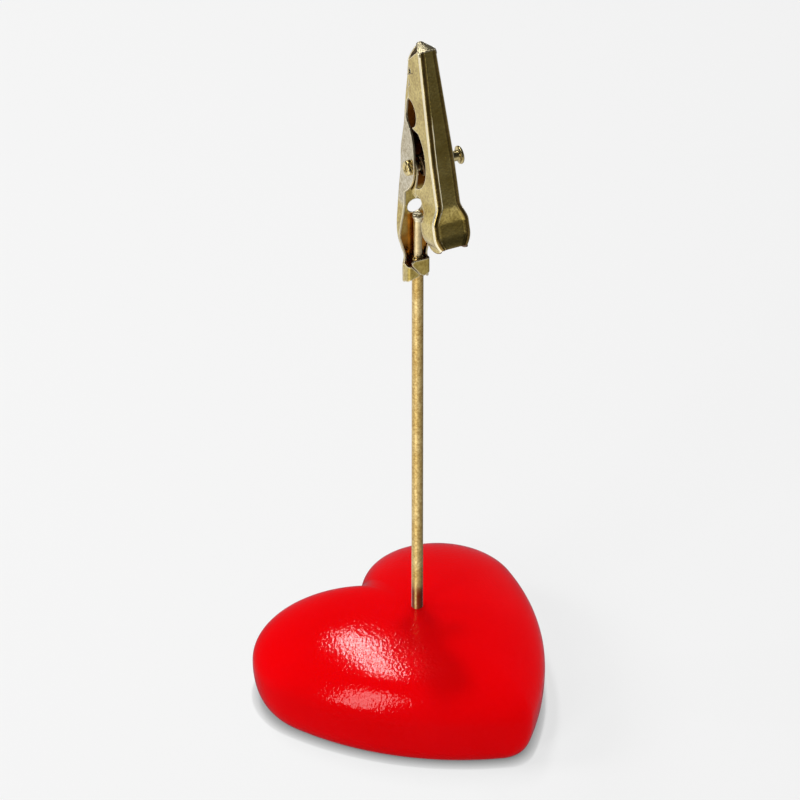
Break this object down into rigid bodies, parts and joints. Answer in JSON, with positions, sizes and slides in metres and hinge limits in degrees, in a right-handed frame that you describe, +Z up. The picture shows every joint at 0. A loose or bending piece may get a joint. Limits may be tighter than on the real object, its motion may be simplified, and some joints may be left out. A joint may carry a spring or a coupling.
{
  "type": "memo holder",
  "caption": "Puffy heart-shaped resin base with an upright brass wire stem and a sprung crocodile clip at the top that holds a note or card.",
  "frame": {"origin": "on the table, under the middle of the heart's outline", "axes": "+Z up along the stem, -Y towards the heart's tip, +X across the lobes"},
  "size_m": [0.0424, 0.0404, 0.1089],
  "materials": {
    "resin": "satin gloss red cast resin",
    "wire_brass": "bright brass-plated wire",
    "jaw_brass": "antique brass plating on stamped sheet",
    "rivet_brass": "bright brass plating",
    "spring_steel": "dark drawn spring wire"
  },
  "bodies": {
    "holder": {"heart_base": "resin", "stem": "wire_brass", "lower_jaw": "jaw_brass", "pivot_rivet": "rivet_brass", "torsion_spring": "spring_steel"},
    "moving_jaw": {"upper_jaw": "jaw_brass"}
  },
  "joints": [
    {"name": "jaw_hinge", "type": "hinge", "parent": "holder", "child": "moving_jaw", "pos_m": [-0.0006, 0.00044, 0.09], "axis": [0.9588, -0.284, 0], "range_deg": [0, 32], "stiffness_Nm_per_rad": 0.0004, "springref_deg": -28.65, "deforming": ["torsion_spring"]}
  ]
}
